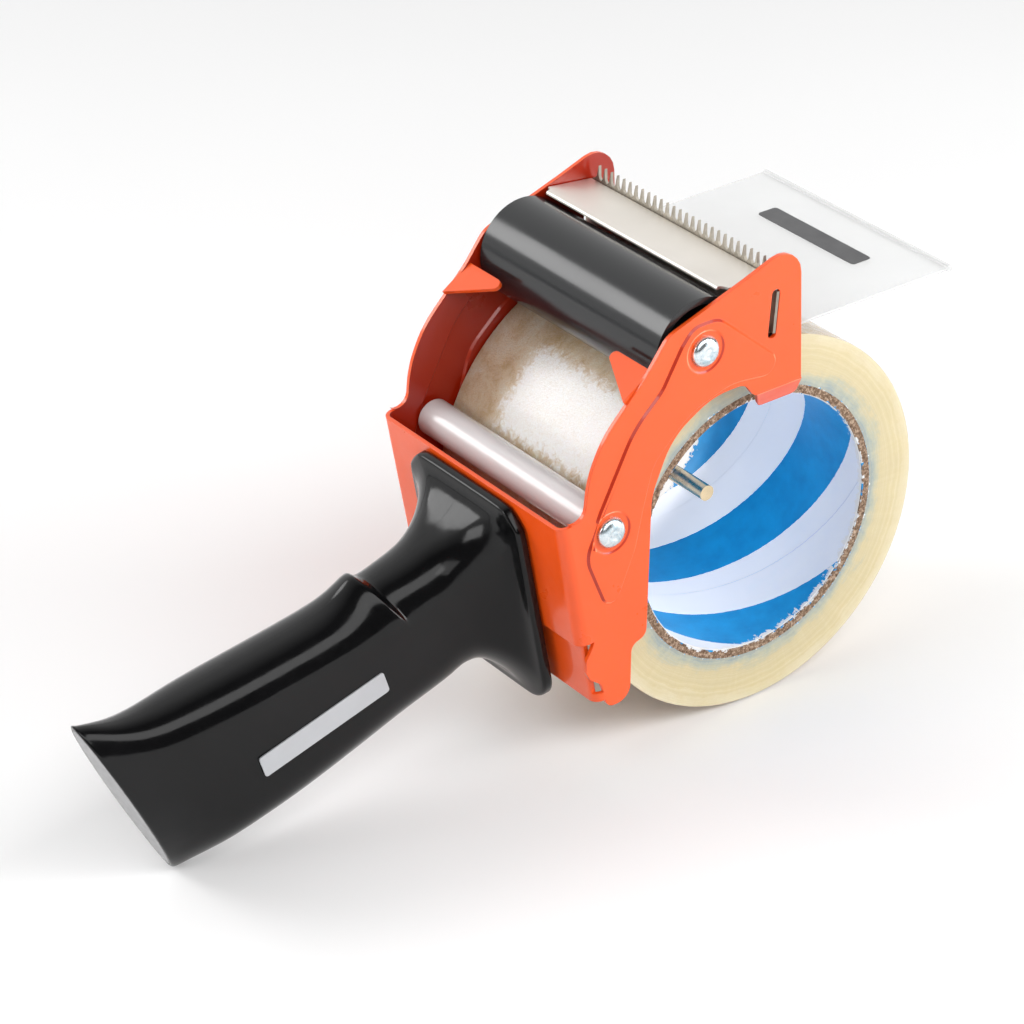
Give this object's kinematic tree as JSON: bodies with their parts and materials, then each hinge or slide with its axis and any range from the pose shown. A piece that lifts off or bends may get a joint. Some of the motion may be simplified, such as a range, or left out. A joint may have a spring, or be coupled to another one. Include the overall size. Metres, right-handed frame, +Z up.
{
  "type": "packing tape dispenser",
  "caption": "Hand-held packing tape dispenser: bent steel frame, moulded handle, pressing and guide rollers, serrated blade, clear wiping flap and a wide tape roll on a spindle.",
  "frame": {"origin": "on the surface the dispenser rests on, under the middle of its bounding box; it rests on the tape roll and on the lower corner of the handle's end", "axes": "+X from handle to blade, +Y along the roll's axis towards the closed side of the frame, +Z up"},
  "size_m": [0.2576, 0.0864, 0.1398],
  "materials": {
    "orange_paint": "gloss",
    "black_plastic": "gloss",
    "cap_grey": "satin",
    "label_silver": "satin",
    "zinc_steel": "bright zinc",
    "roller_black": "satin gloss",
    "bush_black": "matte",
    "tube_milky": "translucent",
    "nickel_steel": "satin nickel",
    "flap_clear": "clear",
    "print_grey": "satin",
    "steel": "turned",
    "hub_black": "matte",
    "cardboard": "fibrous",
    "liner_print": "printed",
    "tape_clear": "gloss"
  },
  "bodies": {
    "dispenser": {"frame": "orange_paint", "handle": "black_plastic", "butt_cap": "cap_grey", "handle_label": "label_silver", "handle_screws": "zinc_steel", "press_axle": "zinc_steel", "guide_axle": "zinc_steel", "blade": "nickel_steel", "blade_plate": "nickel_steel", "blade_rivets": "zinc_steel", "flap_clip": "black_plastic", "spindle": "steel", "hub_clip": "zinc_steel"},
    "press_roller": {"press_roller": "roller_black", "press_bushes": "bush_black"},
    "guide_roller": {"guide_roller": "tube_milky"},
    "tape_roll": {"hub": "hub_black", "core": "cardboard", "core_liner": "liner_print", "tape": "tape_clear"},
    "flap": {"flap": "flap_clear", "flap_lip": "flap_clear", "flap_print": "print_grey"}
  },
  "joints": [
    {"name": "press_roller_spin", "type": "hinge", "parent": "dispenser", "child": "press_roller", "pos_m": [0.0426, 0, 0.1203], "axis": [0, 1, 0], "continuous": true},
    {"name": "guide_roller_spin", "type": "hinge", "parent": "dispenser", "child": "guide_roller", "pos_m": [0.0111, 0, 0.0778], "axis": [0, 1, 0], "continuous": true},
    {"name": "tape_roll_spin", "type": "hinge", "parent": "dispenser", "child": "tape_roll", "pos_m": [0.0674, 0, 0.055], "axis": [0, 1, 0], "continuous": true},
    {"name": "flap_flex", "type": "hinge", "parent": "dispenser", "child": "flap", "pos_m": [0.073, 0, 0.1167], "axis": [0, -1, 0], "range_deg": [-25, 35], "stiffness_Nm_per_rad": 0.3}
  ]
}
